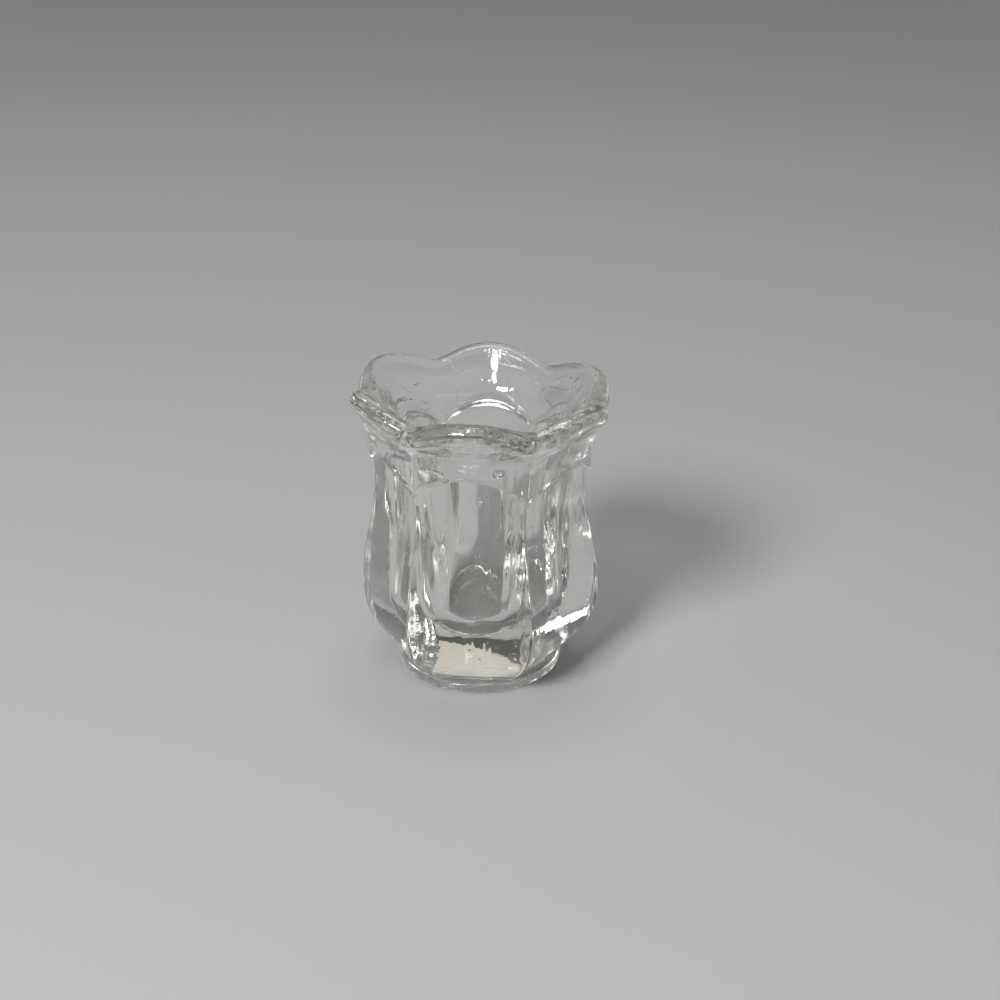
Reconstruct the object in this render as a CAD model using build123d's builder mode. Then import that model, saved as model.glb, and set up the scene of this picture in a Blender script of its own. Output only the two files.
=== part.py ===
"""Pressed clear glass toothpick holder, in millimetres: one solid piece of glass.

A round foot carries a six-sided fluted body. The flutes end in arches under a round
collar, and the collar opens into a flared rim of six petals. A tapered round well is
pressed in from the top. The origin is on the table, under the middle of the foot, and
one flute faces -Y.
"""

import os
from math import cos, pi, radians, sin, sqrt

from build123d import *

# Overall: the table to the petal tips, and one petal above each flute
height = 59.0
petals = 6

# Foot, with a shallow dish underneath so that it stands on a ring
foot_radius = 15.8
foot_height = 1.9
foot_edge_radius = 0.6
heel_step = 0.1
recess_radius = 11.5
recess_depth = 0.7

# Fluted body, with radii to the ridges between the flutes
bulge_radius = 23.2
bulge_height = 16.5
waist_radius = 20.3
waist_drop = 21.5
heel_lean = (-1.0, 0.8)
waist_lean = (-0.06, 1.0)
ridge_edge_radius = 0.4

# Collar outside the ridges, and the arches that the flutes end in
collar_step = 1.0
arch_drop = 12.4
arch_rise = 5.2

# Flared rim: how far the petals and notches open past the collar, under a rounded bead
flare_height = 10.9
flare_curve = 1.8
petal_flare = 4.1
notch_flare = 3.1
petal_rise = 2.6
rim_wall = 4.4
notch_softness = 0.25

# Well for the toothpicks, and its flared mouth
base_thickness = 10.2
well_bottom_radius = 11.0
well_corner_radius = 8.0
waist_wall = 3.6
mouth_depth = 8.5

# Room for cuts to run past the glass
overrun = 4.0

# Places that follow from those sizes
to_flat = cos(pi / petals)
waist_height = height - waist_drop
arch_height = height - arch_drop
collar_radius = waist_radius + collar_step
rim_petal_radius = collar_radius + petal_flare
rim_notch_radius = collar_radius + notch_flare
points_per_petal = 12


def scallop(angle):
    """1 at the middle of a petal and 0 at a notch, with the notch rounded."""
    wave = sqrt(cos(angle * petals / 2) ** 2 + notch_softness**2)
    return (wave - notch_softness) / (sqrt(1 + notch_softness**2) - notch_softness)


def lobed_ring(petal, notch):
    """Closed wire through a (radius, height) at each petal's middle and one at each notch."""
    points = []
    for step in range(petals * points_per_petal):
        angle = 2 * pi * step / (petals * points_per_petal)
        radius = notch[0] + (petal[0] - notch[0]) * scallop(angle)
        level = notch[1] + (petal[1] - notch[1]) * scallop(angle)
        points.append((radius * sin(angle), -radius * cos(angle), level))
    with BuildLine() as ring:
        Spline(*points, periodic=True)
    return ring.wire()


# One flute's face on a deep slab, turned round the axis to leave the fluted core
heel_flat = (foot_radius - foot_edge_radius - heel_step) * to_flat
bulge_flat = bulge_radius * to_flat
waist_flat = waist_radius * to_flat
core_top = arch_height + overrun / 2

with BuildPart() as slab:
    with BuildSketch(Plane.YZ):
        with BuildLine():
            face_line = Spline(
                (-heel_flat, foot_height),
                (-bulge_flat, bulge_height),
                (-waist_flat, waist_height),
                tangents=[heel_lean, waist_lean],
            )
            Polyline(
                face_line @ 1,
                (-waist_flat, core_top),
                (2 * bulge_radius, core_top),
                (2 * bulge_radius, foot_height),
                face_line @ 0,
            )
        make_face()
    extrude(amount=2 * bulge_radius, both=True)

with BuildPart() as core:
    add(slab.part)
    for turn in range(1, petals):
        with Locations(Rotation(0, 0, turn * 360 / petals)):
            add(slab.part, mode=Mode.INTERSECT)
    ridges = core.edges().filter_by(lambda edge: edge.bounding_box().size.Z > bulge_height)
    fillet(ridges, ridge_edge_radius)

# Arched end of one flute, run out from the axis
arch_half_width = collar_radius * sin(pi / petals)
arch_radius = (arch_half_width**2 + arch_rise**2) / (2 * arch_rise)

with BuildPart() as arch:
    with BuildSketch(Plane.XZ):
        with Locations((0, arch_height - arch_radius)):
            Circle(arch_radius)
            Rectangle(2 * arch_radius, arch_height, align=(Align.CENTER, Align.MAX))
    extrude(amount=2 * rim_petal_radius)

# Well: a cone that leaves the waist wall behind each flute, with a rounded bottom corner
shoulder_height = height - mouth_depth
well_taper = (waist_flat - waist_wall - well_bottom_radius) / (waist_height - base_thickness)
shoulder_radius = well_bottom_radius + well_taper * (shoulder_height - base_thickness)

with BuildPart() as well:
    with BuildSketch(Plane.XZ) as well_half:
        with BuildLine():
            Polyline(
                (0, base_thickness),
                (well_bottom_radius, base_thickness),
                (shoulder_radius, shoulder_height),
                (0, shoulder_height),
                close=True,
            )
        make_face()
        corner = well_half.vertices().sort_by_distance((well_bottom_radius, 0, base_thickness))[0]
        fillet(corner, well_corner_radius)
    revolve(axis=Axis.Z)

# Collar: rings up the outside of the flare, over the rounded rim and down into the mouth
collar_steps = (-0.5, 0.0, 0.2, 0.4, 0.6, 0.8)
rim_turns = (-60, -30, 0, 22.5, 45, 67.5, 90, 112.5, 136)
rim_round = rim_wall / 2
rim_height = height - rim_round
lip_inset = rim_round * (1 - cos(radians(rim_turns[0])))
lip_height = rim_height + rim_round * sin(radians(rim_turns[0]))
floor_height = shoulder_height - overrun / 3
floor_radius = shoulder_radius - overrun / 3
collar_rings = []
for step in collar_steps:
    opened = max(step, 0.0)
    level = lip_height - flare_height * (1 - step)
    petal = (collar_radius + (petal_flare - lip_inset) * opened**flare_curve, level)
    notch = (collar_radius + (notch_flare - lip_inset) * opened**flare_curve, level - petal_rise * opened)
    collar_rings.append(lobed_ring(petal, notch))
for turn in rim_turns:
    inset = rim_round * (1 - cos(radians(turn)))
    level = rim_height + rim_round * sin(radians(turn))
    petal = (rim_petal_radius - inset, level)
    notch = (rim_notch_radius - inset, level - petal_rise)
    collar_rings.append(lobed_ring(petal, notch))
collar_rings.append(lobed_ring((floor_radius, floor_height), (floor_radius, floor_height)))

with BuildPart() as collar:
    add(Solid.make_loft(collar_rings, ruled=True))
    with PolarLocations(0, petals):
        add(arch.part, mode=Mode.SUBTRACT)

# The foot, the core and the collar are pressed as one, and the well is cut last
with BuildPart() as toothpick_holder:
    with BuildSketch(Plane.XZ) as foot_half:
        Rectangle(foot_radius, foot_height, align=(Align.MIN, Align.MIN))
        fillet(foot_half.vertices().group_by(Axis.X)[-1], foot_edge_radius)
    revolve(axis=Axis.Z)
    with BuildSketch(Plane.XZ):
        with BuildLine():
            dish = TangentArc((0, recess_depth), (recess_radius, 0), tangent=(1, 0))
            Polyline(dish @ 1, (0, 0), dish @ 0)
        make_face()
    revolve(axis=Axis.Z, mode=Mode.SUBTRACT)
    add(core.part)
    add(collar.part)
    add(well.part, mode=Mode.SUBTRACT)

toothpick_holder.part.label = "toothpick_holder"
os.makedirs("parts", exist_ok=True)
export_step(toothpick_holder.part, "parts/toothpick_holder.step")
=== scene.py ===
import math

import bpy
import numpy as np
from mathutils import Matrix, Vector


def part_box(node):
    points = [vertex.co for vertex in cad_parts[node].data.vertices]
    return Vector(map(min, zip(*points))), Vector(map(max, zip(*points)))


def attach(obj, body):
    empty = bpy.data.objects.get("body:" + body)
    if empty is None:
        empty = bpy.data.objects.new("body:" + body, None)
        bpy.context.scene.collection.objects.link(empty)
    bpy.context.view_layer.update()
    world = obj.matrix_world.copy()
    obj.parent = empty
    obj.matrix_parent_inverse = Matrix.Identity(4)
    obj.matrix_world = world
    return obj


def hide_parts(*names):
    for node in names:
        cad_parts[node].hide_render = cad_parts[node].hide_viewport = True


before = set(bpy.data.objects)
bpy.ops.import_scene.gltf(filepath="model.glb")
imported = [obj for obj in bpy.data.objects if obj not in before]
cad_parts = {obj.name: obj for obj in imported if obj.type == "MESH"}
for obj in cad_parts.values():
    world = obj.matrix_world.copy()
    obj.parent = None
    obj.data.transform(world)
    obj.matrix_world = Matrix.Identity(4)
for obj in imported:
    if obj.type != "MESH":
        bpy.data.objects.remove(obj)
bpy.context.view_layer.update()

# Foot
# The round disc that the holder stands on, clear glass pressed in one with the body above it.
# Underneath is a shallow dish with the turning marks of the mould, so only a ring touches the table.
mm = 0.001
petals = 6
half_sector = math.pi / petals
columns_per_petal = 48
column = np.arange(petals * columns_per_petal)
across = 2 * (column % columns_per_petal) / columns_per_petal - 1
from_petal = half_sector * np.sin(across * math.pi / 2)
azimuth = 2 * half_sector * (column // columns_per_petal) + from_petal

foot_radius = 15.8
foot_height = 1.9
foot_edge = 0.6
dish_radius = 11.5
dish_depth = 0.7
dish_eye = 0.04
dish_rings = 40
dish_mark = 0.012
dish_mark_spacing = 1.3
dish_mark_waves = 3
dish_mark_start = (0.5, 2.0)
dish_mark_end = (dish_radius - 1.5, dish_radius)


def at(radius, level):
    """One ring of points: a radius and a level for every column."""
    return np.array([radius + 0 * azimuth, level + 0 * azimuth])


def along(start, end, count):
    """Rings in equal steps after the start and up to the end."""
    return [start + (end - start) * step / count for step in range(1, count + 1)]


def turned(centre_radius, centre_level, radius, start, end, count):
    """Rings along a circular arc in the upright section, angles in degrees."""
    rings = []
    for angle in np.radians(along(start, end, count)):
        rings.append(at(centre_radius + radius * np.cos(angle), centre_level + radius * np.sin(angle)))
    return rings


def fade(value, start, end):
    """0 before the start and 1 after the end, with a smooth step between."""
    step = np.clip((value - start) / (end - start), 0, 1)
    return step * step * (3 - 2 * step)


rings = []
for reach in np.linspace(dish_eye, 1, dish_rings) * dish_radius:
    waver = np.sin(dish_mark_waves * azimuth)
    marks = dish_mark * np.sin(2 * math.pi * reach / dish_mark_spacing + waver)
    marks *= fade(reach, *dish_mark_start) * (1 - fade(reach, *dish_mark_end))
    rings.append(at(reach, dish_depth * (1 - (reach / dish_radius) ** 2) + marks))
rings += along(rings[-1], at(foot_radius - foot_edge, 0), count=5)
rings += turned(foot_radius - foot_edge, foot_edge, foot_edge, -90, 0, count=6)
rings += turned(foot_radius - foot_edge, foot_height - foot_edge, foot_edge, 0, 90, count=6)

# Flutes
# Six flat faces of clear glass round the body, shaped by the mould's sides.
# They swell to a bulge, draw in to a waist, and meet in fire-polished ridges.
# The mould left shallow upright ripples in them, and press lines above the foot.
glass_low, glass_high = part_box("toothpick_holder")
height = (glass_high[2] - glass_low[2]) / mm
heel_step = 0.1
heel_radius = foot_radius - foot_edge - heel_step
heel_slope = 1.25
heel_fillet = 0.35
heel_blend = 1.0
bulge_radius = 23.2
bulge_height = 16.5
waist_radius = 20.3
waist_drop = 21.5
waist_height = height - waist_drop
ridge_edge = 0.7
to_flat = math.cos(half_sector)
flute_rings = 150
press_line_top = 24.0
mould_marks = np.random.default_rng(11)


def ripples(depth, turns, climb, count=8):
    """Shallow uneven waves: so many round the axis, climbing up to so many radians a millimetre."""
    around = mould_marks.integers(*turns, count)
    upward = mould_marks.uniform(-climb, climb, count)
    phase = mould_marks.uniform(0, 2 * math.pi, count)

    def height_at(level):
        waves = [np.sin(a * azimuth + u * level + p) for a, u, p in zip(around, upward, phase)]
        return depth * sum(waves) / math.sqrt(count)

    return height_at


flute_ripple = ripples(depth=0.05, turns=(12, 32), climb=0.15)
flute_peel = ripples(depth=0.008, turns=(10, 26), climb=0.7)
press_lines = ripples(depth=0.008, turns=(1, 7), climb=2.4)


def flute_flat(level):
    """Distance from the axis to the middle of a flute."""
    heel, bulge, waist = heel_radius * to_flat, bulge_radius * to_flat, waist_radius * to_flat
    rising = np.clip((level - foot_height) / (bulge_height - foot_height), 0, 1)
    lower = heel + (bulge - heel) * (3 * rising**2 - 2 * rising**3)
    lower += heel_slope * (bulge_height - foot_height) * (rising**3 - 2 * rising**2 + rising)
    upper = bulge + (waist - bulge) * fade(level, bulge_height, waist_height)
    return np.where(rising < 1, lower, upper)


def flute_radius(level):
    """Radius of the fluted body in every column, with its ridges rounded."""
    flat = flute_flat(level)
    centre = (flat - ridge_edge) / to_flat
    off_ridge = half_sector - np.abs(from_petal)
    touch = np.arctan2(centre * math.sin(half_sector), flat)
    past_edge = np.maximum(ridge_edge**2 - (centre * np.sin(off_ridge)) ** 2, 0)
    edge = centre * np.cos(off_ridge) + np.sqrt(past_edge)
    return np.where(np.abs(from_petal) > touch, edge, flat / np.cos(from_petal))


def rippled_flute(level):
    """One ring of the fluted body with the marks of the mould."""
    above = fade(level, press_line_top / 2, press_line_top)
    marks = above * (flute_ripple(level) + flute_peel(level)) + (1 - above) * press_lines(level)
    return at(flute_radius(level) + marks * fade(level, foot_height, foot_height + heel_blend), level)


def softened(before, corner, after, count):
    """Rings round a fire-polished corner."""
    rings = []
    for step in along(0, 1, count):
        rings.append((1 - step) ** 2 * before + 2 * step * (1 - step) * corner + step**2 * after)
    return rings


heel = at(flute_radius(foot_height), foot_height)
heel_start = foot_height + heel_fillet
rings += along(rings[-1], (rings[-1] + heel) / 2, count=2)
rings += softened(rings[-1], heel, rippled_flute(heel_start), count=4)

# Arches
# Each flute ends under the collar in a round arch, cut by the mould as a narrow ledge of clear glass.
# The arches of two flutes meet in a point on the ridge between them.
collar_step = 1.0
ridge_pinch = 0.45
collar_radius = waist_radius + collar_step - ridge_pinch * (1 - np.cos(from_petal * petals / 2))
collar_ripple = ripples(depth=0.03, turns=(12, 32), climb=0.2)
arch_drop = 12.4
arch_height = height - arch_drop
arch_rise = 5.2
arch_half_width = (waist_radius + collar_step) * math.sin(half_sector)
arch_radius = (arch_half_width**2 + arch_rise**2) / (2 * arch_rise)
ledge_hollow = 0.9
ledge_arris = 0.55
ledge_share = 0.45


def arch_level(radius):
    """Level of the arch in every column at a given radius."""
    aside = radius * np.sin(from_petal)
    return arch_height - arch_radius + np.sqrt(arch_radius**2 - aside**2)


inner_radius = flute_radius(waist_height)
ledge_in = at(inner_radius, arch_level(inner_radius))
ledge_out = at(collar_radius, arch_level(collar_radius))
ledge_depth = np.hypot(*(ledge_out - ledge_in))
ledge_way = (ledge_out - ledge_in) / ledge_depth
hollow = np.minimum(ledge_hollow, ledge_share * ledge_depth)
arris = np.minimum(ledge_arris, ledge_share * ledge_depth)
flute_top = ledge_in[1] - hollow
rings += [rippled_flute(level) for level in along(heel_start + 0 * azimuth, flute_top, flute_rings)]
rings += softened(rings[-1], ledge_in, ledge_in + ledge_way * hollow, count=6)
rings += along(rings[-1], ledge_out - ledge_way * arris, count=4)

# Petals
# The collar opens into a flare with six petals of clear glass, opened and fire-polished while soft.
# A thin cord of glass stands along the top of each arch, where two parts of the mould met.
# The rim is a thick rounded bead that still shows the lines along which it was drawn.
rim_round = 2.2
rim_start = math.radians(-48)
rim_end = math.radians(136)
rim_spare = 0.15
rim_petal_radius = (glass_high[1] - glass_low[1]) / 2 / mm - rim_spare
notch_depth = 1.72
notch_softness = 0.25
petal_rise = 2.6
room_to_lean = 0.97
collar_lean = 0.05
flare_lean = 0.3
flare_rings = 56
ripple_start = (4, 16)
ripple_end = (flare_rings - 12, flare_rings)
arch_cord = 0.16
arch_cord_width = 1.0
bead_line = 0.05
bead_lines = 9
bead_line_blend = 0.5
bead_rings = 36
bead_waver = ripples(depth=1.0, turns=(2, 7), climb=0.0)(0)
bead_strength = 0.6 + 0.4 * np.sin(2 * azimuth + 1) * np.sin(5 * azimuth)
wave = np.sqrt(np.cos(azimuth * petals / 2) ** 2 + notch_softness**2)
scallop = (wave - notch_softness) / (math.sqrt(1 + notch_softness**2) - notch_softness)
bead_radius = rim_petal_radius - notch_depth * (1 - scallop) - rim_round
bead_level = height - room_to_lean - rim_round - petal_rise * (1 - scallop)


def bead(angle):
    """One ring of the rim's rounded bead, at an angle round its section."""
    inside = fade(angle, rim_start, rim_start + bead_line_blend)
    inside *= 1 - fade(angle, rim_end - bead_line_blend, rim_end)
    lines = bead_line * bead_strength * np.sin(bead_lines * angle + bead_waver) * inside
    section = rim_round + lines
    return at(bead_radius + section * np.cos(angle), bead_level + section * np.sin(angle))


def curved(start, start_way, end, end_way, count):
    """Rings along a curve that leaves and arrives in the given directions."""
    rings = []
    for step in along(0, 1, count):
        rings.append(
            (2 * step**3 - 3 * step**2 + 1) * start
            + (step**3 - 2 * step**2 + step) * start_way
            + (3 * step**2 - 2 * step**3) * end
            + (step**3 - step**2) * end_way
        )
    return rings


collar_start = ledge_out + at(collar_lean * scallop, 1) * arris
rings += softened(rings[-1], ledge_out, collar_start, count=5)
bead_start = bead(rim_start)
rise = np.hypot(*(bead_start - collar_start))
leave = at(flare_lean * scallop, 1) * rise
arrive = at(-math.sin(rim_start), math.cos(rim_start)) * rise
for step, ring in enumerate(curved(collar_start, leave, bead_start, arrive, flare_rings), start=1):
    marks = collar_ripple(ring[1]) * fade(step, *ripple_start) * (1 - fade(step, *ripple_end))
    over_cord = np.clip((ring[1] - collar_start[1]) / arch_cord_width, 0, 1)
    cord = arch_cord * np.sin(over_cord * math.pi) ** 2
    rings.append(ring + at(marks + cord, 0))
rings += [bead(angle) for angle in along(rim_start, rim_end, bead_rings)]

# Well
# The plunger pressed the tapered round well that holds the toothpicks, with a rounded bottom.
# The flared mouth turns over a soft shoulder into it, and the plunger drew faint upright lines in the wall.
base_thickness = 10.2
well_bottom_radius = 11.0
well_corner = 8.0
well_eye = 0.06
waist_wall = 3.6
mouth_depth = 8.5
shoulder_height = height - mouth_depth
shoulder_soft = 2.2
plunger_lines = ripples(depth=0.04, turns=(10, 32), climb=0.08)
plunger_line_blend = 4
chill_wrinkles = ripples(depth=0.5, turns=(5, 15), climb=0.0)(0)
wrinkle_start = (0.2, 0.8)
well_taper = (waist_radius * to_flat - waist_wall - well_bottom_radius) / (waist_height - base_thickness)
well_lean = math.atan(well_taper)
shoulder = at(well_bottom_radius + well_taper * (shoulder_height - base_thickness), shoulder_height)
mouth_way = (shoulder - rings[-1]) / np.hypot(*(shoulder - rings[-1]))
rings += along(rings[-1], shoulder - mouth_way * shoulder_soft, count=16)
below_shoulder = shoulder - at(well_taper, 1) * shoulder_soft
rings += softened(rings[-1], shoulder, below_shoulder, count=8)
corner_level = base_thickness + well_corner
corner_radius = well_bottom_radius + well_taper * well_corner - well_corner / math.cos(well_lean)
wall_top = below_shoulder[1]
wall_bottom = corner_level - well_corner * math.sin(well_lean)
wall_foot = at(corner_radius + well_corner * math.cos(well_lean), wall_bottom)
for ring in along(below_shoulder, wall_foot, count=56):
    within = fade(ring[1], wall_bottom, wall_bottom + plunger_line_blend)
    within *= 1 - fade(ring[1], wall_top - plunger_line_blend, wall_top)
    rings.append(ring + at(plunger_lines(ring[1]) * within, 0))
for ring in turned(corner_radius, corner_level, well_corner, -math.degrees(well_lean), -90, count=20):
    sunk = (corner_level - ring[1]) / well_corner
    rings.append(ring + at(0, chill_wrinkles * (1 - sunk) * fade(sunk, *wrinkle_start)))
rings += [at(corner_radius * reach, base_thickness) for reach in np.linspace(1, well_eye, 8)[1:]]

# Hand finish
# The rim was opened by hand while the glass was soft, so it isn't quite true.
# It leans back and to one side, and the arches there are drawn down a little.
# Low on the other side the body is slightly fuller.
soft_levels = (38, 56)
lean_back = 0.036
lean_aside = 0.026
drift_aside = 0.57
drawn_down = 1.3
drawn_towards = math.radians(55)
drawn_spread = math.radians(75)
drawn_start = (30, 41)
drawn_end = (46, 55)
heel_swell = 0.05
swell_start = (foot_height, 4)
swell_end = (4, 14)
radius, level = np.array(rings).transpose(1, 0, 2)
points = np.stack([radius * np.sin(azimuth), -radius * np.cos(azimuth), level], axis=2)
points = np.concatenate([points.reshape(-1, 3), [[0, 0, dish_depth], [0, 0, base_thickness]]])
x, y, z = points.T
softness = fade(z, *soft_levels)
drawn_level = fade(z, *drawn_start) * (1 - fade(z, *drawn_end))
turn_from_drawn = np.arctan2(x, -y) - drawn_towards
turn_from_drawn = np.abs((turn_from_drawn + math.pi) % (2 * math.pi) - math.pi)
drawn_side = np.cos(np.minimum(turn_from_drawn / drawn_spread, 1) * math.pi / 2) ** 2
z -= softness * (lean_aside * x + lean_back * y)
z -= drawn_down * drawn_level * drawn_side
x += drift_aside * softness
x -= heel_swell * (fade(z, *swell_start) * (1 - fade(z, *swell_end)) * np.maximum(-x, 0))

ring_count, column_count = radius.shape
grid = np.arange(ring_count * column_count).reshape(ring_count, column_count)
beside = np.roll(grid, -1, axis=1)
dish_middle = ring_count * column_count
well_middle = dish_middle + 1
faces = np.stack([grid[:-1], beside[:-1], beside[1:], grid[1:]], axis=2).reshape(-1, 4).tolist()
faces += [[dish_middle, b, a] for a, b in zip(grid[0], beside[0])]
faces += [[well_middle, a, b] for a, b in zip(grid[-1], beside[-1])]

# Seeds
# Air bubbles caught in the glass as it was pressed, and thin threads of air drawn out in the flare.
# Their skin faces inwards, because the air is inside it and the glass outside.
seed_sides = 10
seed_bands = 10
mouth_slope = 0.9
seeds = [
    # each end's azimuth in degrees and level, then the thickness and the depth behind the well's wall
    ((12, 48), (19, 48.5), 1.9, 3.6),
    ((19, 42.5), (21, 42), 0.5, 2.0),
    ((4, 41.5), (7, 40.5), 1.1, 1.7),
    ((140, 52), (119, 53), 0.35, 1.4),
    ((150, 54), (145, 53.5), 0.3, 1.4),
    ((233, 52), (225, 52), 0.3, 1.4),
    ((132, 54), (130, 55), 0.25, 1.4),
    ((120, 55), (121, 53.5), 0.25, 1.4),
    ((232, 49.5), (222, 48), 0.3, 1.3),
    ((228, 47), (222, 48), 0.3, 1.3),
    ((135, 50), (125, 49.5), 0.3, 1.3),
    ((130, 48.5), (125, 51), 0.3, 1.3),
    ((200, 50), (202, 48), 0.25, 1.3),
    ((246, 50), (255, 48.5), 0.25, 1.3),
    ((290, 25), (291, 25.5), 0.35, 2.5),
    ((38, 22), (38, 22.5), 0.3, 2.5),
    ((168, 33), (168, 33.5), 0.3, 2.0),
]
for start, end, thick, depth in seeds:
    ends = []
    for turn, seed_level in (start, end):
        wall = well_bottom_radius + well_taper * (min(seed_level, shoulder_height) - base_thickness)
        distance = wall + mouth_slope * max(seed_level - shoulder_height, 0) + depth
        heading = math.radians(turn)
        ends.append((distance * math.sin(heading), -distance * math.cos(heading), seed_level))
    middle = np.add(*ends) / 2
    half_way = np.subtract(*ends) / 2
    aside = np.cross(half_way, middle)
    aside *= thick / 2 / np.linalg.norm(aside)
    across_both = np.cross(aside, half_way)
    across_both *= thick / 2 / np.linalg.norm(across_both)
    first = len(points)
    skin = [middle + half_way, middle - half_way]
    for down in np.pi * np.arange(1, seed_bands) / seed_bands:
        for around in 2 * np.pi * np.arange(seed_sides) / seed_sides:
            spread = np.cos(around) * aside + np.sin(around) * across_both
            skin.append(middle + np.cos(down) * half_way + np.sin(down) * spread)
    points = np.concatenate([points, skin])
    belts = first + 2 + np.arange((seed_bands - 1) * seed_sides).reshape(seed_bands - 1, seed_sides)
    next_belts = np.roll(belts, -1, axis=1)
    bands = np.stack([belts[:-1], next_belts[:-1], next_belts[1:], belts[1:]], axis=2)
    faces += bands.reshape(-1, 4).tolist()
    faces += [[first, b, a] for a, b in zip(belts[0], next_belts[0])]
    faces += [[first + 1, a, b] for a, b in zip(belts[-1], next_belts[-1])]

# Clear glass
# One gather of soda-lime glass with a faint green cast that shows only through thick parts.
# Fire-polished, with drawn streaks, a few straw marks in the flare, pits, and scuffs where it stands.
glass_mesh = bpy.data.meshes.new("glass_body")
glass_mesh.from_pydata((points * mm).tolist(), [], faces)
glass_mesh.shade_smooth()
glass_body = bpy.data.objects.new("glass_body", glass_mesh)
bpy.context.collection.objects.link(glass_body)


class Shade:
    """A socket among a material's nodes: arithmetic on it adds Math nodes."""

    def __init__(self, tree, socket=None):
        self.tree = tree
        self.socket = socket

    def node(self, kind, settings, sockets, out=0):
        """Add a node with its settings first, then the values or links of its sockets."""
        added = self.tree.nodes.new(kind)
        for name, value in settings.items():
            setattr(added, name, value)
        for name, value in sockets.items():
            if isinstance(value, Shade):
                self.tree.links.new(value.socket, added.inputs[name])
            else:
                added.inputs[name].default_value = value
        return Shade(self.tree, added.outputs[out] if added.outputs else None)

    def math(self, operation, first, second):
        return self.node("ShaderNodeMath", {"operation": operation}, {0: first, 1: second})

    def __add__(self, other):
        return self.math("ADD", self, other)

    def __sub__(self, other):
        return self.math("SUBTRACT", self, other)

    def __rsub__(self, other):
        return self.math("SUBTRACT", other, self)

    def __mul__(self, other):
        return self.math("MULTIPLY", self, other)

    def __abs__(self):
        return self.math("ABSOLUTE", self, 0)

    __radd__ = __add__
    __rmul__ = __mul__

    def step(self, start, end):
        """0 at the start and 1 at the end, smooth between."""
        ends = {"Value": self, "From Min": start, "From Max": end}
        return self.node("ShaderNodeMapRange", {"interpolation_type": "SMOOTHSTEP"}, ends)


clear_glass = bpy.data.materials.new("clear_glass")
clear_glass.use_nodes = True
clear_glass.node_tree.nodes.clear()
glass = Shade(clear_glass.node_tree)
place = glass.node("ShaderNodeTexCoord", {}, {}, "Object")
level_here = glass.node("ShaderNodeSeparateXYZ", {}, {"Vector": place}, "Z")


def cloud(where, per_metre, detail=1.0):
    """Soft noise with so many blotches to the metre."""
    return glass.node("ShaderNodeTexNoise", {}, {"Vector": where, "Scale": per_metre, "Detail": detail}, 0)


def stretched(factors):
    """Places in the glass, with each axis taken so many times."""
    return glass.node("ShaderNodeVectorMath", {"operation": "MULTIPLY"}, {0: place, 1: factors})


upright = stretched((1, 1, 0.1))
level_ways = stretched((0.12, 0.12, 1))
from_axis = stretched((1, 1, 0))
radius_here = glass.node("ShaderNodeVectorMath", {"operation": "LENGTH"}, {0: from_axis}, "Value")

heel_levels = (10 * mm, 18 * mm)
streak_height = 1.3
streak_least = 0.25
above_heel = level_here.step(*heel_levels)
streaky = streak_least + cloud(upright, per_metre=110).step(0.42, 0.6)
streaks = cloud(upright, per_metre=700) * streak_height * above_heel * streaky

press_mark_height = 0.5
press_marks = cloud(level_ways, per_metre=1000, detail=2.0) * (1 - above_heel) * press_mark_height

grain_height = 0.3
bead_reach = (19.5 * mm, 21.2 * mm)
bead_levels = (49 * mm, 51 * mm)
on_bead = radius_here.step(*bead_reach) * level_here.step(*bead_levels)
grain = cloud(place, per_metre=2200) * on_bead

straw_height = 0.7
straw_roughness = 0.3
flare_start = (46 * mm, 50 * mm)
flare_end = (54 * mm, 57 * mm)
in_flare = level_here.step(*flare_start) * (1 - level_here.step(*flare_end))
straw_lines = 1 - abs(cloud(place, per_metre=210) - 0.5).step(0.0, 0.04)
straw_marks = straw_lines * cloud(place, per_metre=120).step(0.60, 0.66) * in_flare

pits_per_metre = 420
pit_depth = 0.5
pit_roughness = 0.5
pit_spacing = glass.node("ShaderNodeTexVoronoi", {}, {"Vector": place, "Scale": pits_per_metre}, "Distance")
pits = (1 - pit_spacing.step(0.05, 0.11)) * cloud(place, per_metre=60).step(0.52, 0.62)

scuff_roughness = 0.3
clean_colour = (0.985, 0.99, 0.98, 1)
scuffed_colour = (0.93, 0.93, 0.91, 1)
scuff_levels = (0.1 * mm, 0.6 * mm)
standing = 1 - level_here.step(*scuff_levels)
scuffs = standing * cloud(place, per_metre=2500, detail=3.0).step(0.5, 0.62)

relief_depth = 0.09 * mm
relief = streaks + press_marks + grain * grain_height + straw_marks * straw_height - pits * pit_depth
bump = glass.node("ShaderNodeBump", {}, {"Strength": 1.0, "Distance": relief_depth, "Height": relief})
wear = scuffs * scuff_roughness + straw_marks * straw_roughness + pits * pit_roughness
tint = glass.node(
    "ShaderNodeMix",
    {"data_type": "RGBA"},
    {"Factor": scuffs, "A": clean_colour, "B": scuffed_colour},
    "Result",
)
surface = glass.node(
    "ShaderNodeBsdfPrincipled",
    {},
    {
        "Base Color": tint,
        "Roughness": wear,
        "Normal": bump,
        "Transmission Weight": 1.0,
        "IOR": 1.52,
    },
)
cast = glass.node("ShaderNodeVolumeAbsorption", {}, {"Color": (0.925, 0.94, 0.91, 1), "Density": 20.0})
glass.node("ShaderNodeOutputMaterial", {}, {"Surface": surface, "Volume": cast})
glass_mesh.materials.append(clear_glass)
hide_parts("toothpick_holder")
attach(glass_body, "root")

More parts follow.
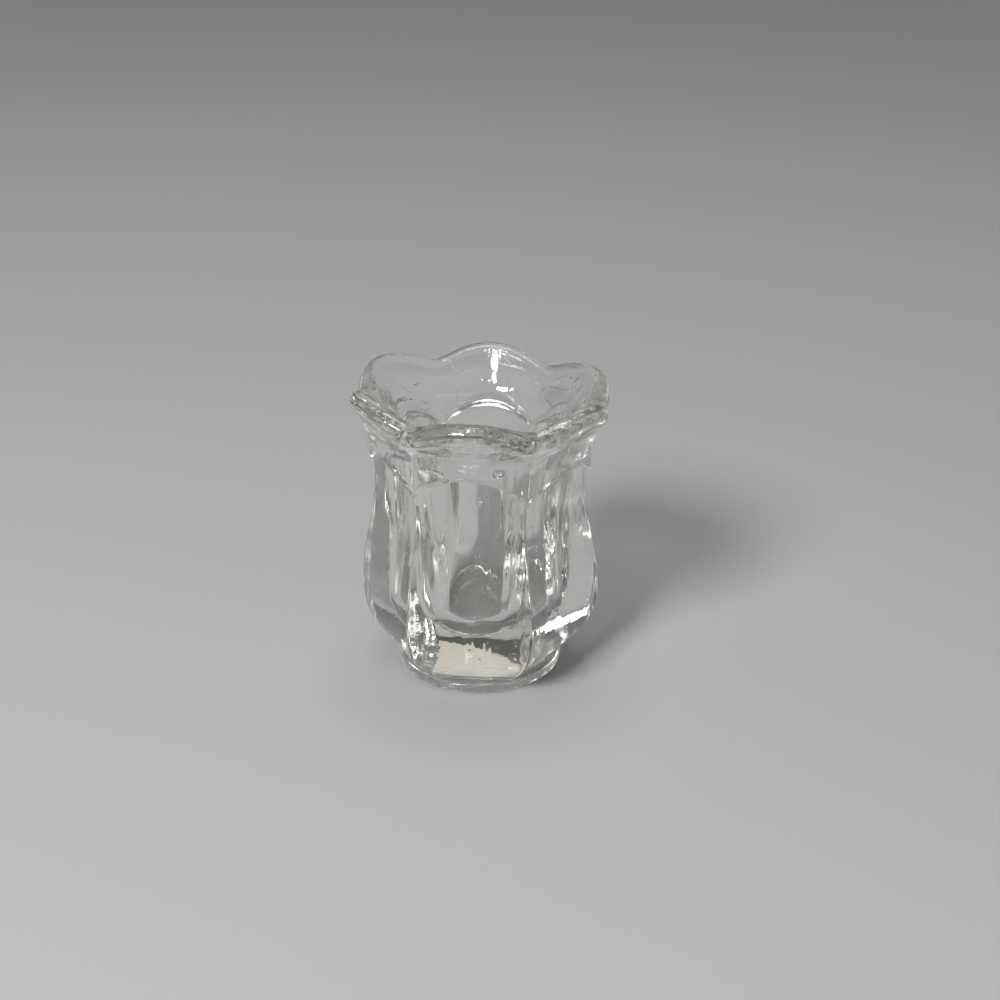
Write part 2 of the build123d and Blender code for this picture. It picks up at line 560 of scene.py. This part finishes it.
# Floor
# A wide sheet of pale matt paper that the holder stands on.
# It lies just clear of the glass, so that the foot keeps its own underside.
floor_size = 6.0
floor_gap = 0.05 * mm
bpy.ops.mesh.primitive_plane_add(size=floor_size, location=(0, 0, -floor_gap))
floor = bpy.context.object
floor.name = "floor"
paper = bpy.data.materials.new("paper")
paper.use_nodes = True
paper_sockets = paper.node_tree.nodes["Principled BSDF"].inputs
paper_sockets["Base Color"].default_value = (0.43, 0.43, 0.43, 1)
paper_sockets["Roughness"].default_value = 0.9
paper_sockets["Specular IOR Level"].default_value = 0.15
floor.data.materials.append(paper)

# Light
# A dim room that is lighter overhead, with the main softbox high on the left and two smaller ones above.
# Low softboxes at the right and behind put streaks in the thick glass, and a tall one behind is warm.
# Together they light the floor so that its colour comes out about as it is written.
horizon_colour = (0.08, 0.08, 0.08, 1)
ceiling_colour = (0.25, 0.25, 0.25, 1)
studio = bpy.data.worlds.new("studio")
studio.use_nodes = True
studio.node_tree.nodes.clear()
room = Shade(studio.node_tree)
direction = room.node("ShaderNodeTexCoord", {}, {}, "Generated")
upward = room.node("ShaderNodeSeparateXYZ", {}, {"Vector": direction}, "Z")
glow = room.node(
    "ShaderNodeMix",
    {"data_type": "RGBA"},
    {"Factor": upward.step(0.0, 0.9), "A": horizon_colour, "B": ceiling_colour},
    "Result",
)
room_light = room.node("ShaderNodeBackground", {}, {"Color": glow})
room.node("ShaderNodeOutputWorld", {}, {"Surface": room_light})
bpy.context.scene.world = studio
aim = Vector((0, 0, 0.03))


def softbox(name, stand, width, tall, power, shape="RECTANGLE", colour=(1, 1, 1)):
    """A soft light that faces the holder."""
    lamp = bpy.data.lights.new(name, "AREA")
    lamp.shape = shape
    lamp.size = width
    lamp.size_y = tall
    lamp.energy = power
    lamp.color = colour
    box = bpy.data.objects.new(name, lamp)
    box.location = stand
    box.rotation_euler = (aim - Vector(stand)).to_track_quat("-Z", "Y").to_euler()
    bpy.context.collection.objects.link(box)


softbox("key_light", (-0.33, -0.58, 0.60), width=0.24, tall=0.24, power=6.8)
softbox("overhead_light", (0, 0.15, 0.9), width=0.3, tall=0.3, power=1.5)
softbox("ceiling_spot", (-0.08, -0.36, 0.85), width=0.06, tall=0.14, power=0.6)
softbox("right_light", (0.40, -0.38, 0.15), width=0.5, tall=0.18, power=0.4)
softbox("back_left_light", (-0.62, 0.69, 0.08), width=0.2, tall=0.12, power=0.2)
softbox("back_right_light", (0.45, 0.9, 0.08), width=0.2, tall=0.12, power=0.1)
softbox(
    "back_light",
    (-0.115, 0.96, 0.37),
    width=0.11,
    tall=0.66,
    power=0.095,
    shape="ELLIPSE",
    colour=(1.0, 0.9, 0.75),
)

# Camera
# It looks down at the holder from a little to the right, as the photograph does.
# Light paths are long, because light is reflected many times inside thick glass.
frame_width = 1000
focal_pixels = 1773.04
camera_stand = Vector((0.03046, -0.30575, 0.17806))
camera_way = Vector((-0.07818, 0.90157, -0.42551))
lens = bpy.data.cameras.new("camera")
lens.sensor_fit = "HORIZONTAL"
lens.sensor_width = 36
lens.lens = lens.sensor_width * focal_pixels / frame_width
camera = bpy.data.objects.new("camera", lens)
camera.location = camera_stand
camera.rotation_euler = camera_way.to_track_quat("-Z", "Y").to_euler()
bpy.context.collection.objects.link(camera)
bpy.context.scene.camera = camera
light_paths = bpy.context.scene.cycles
light_paths.max_bounces = 24
light_paths.glossy_bounces = 16
light_paths.transmission_bounces = 20
bpy.context.scene.view_settings.view_transform = "Standard"
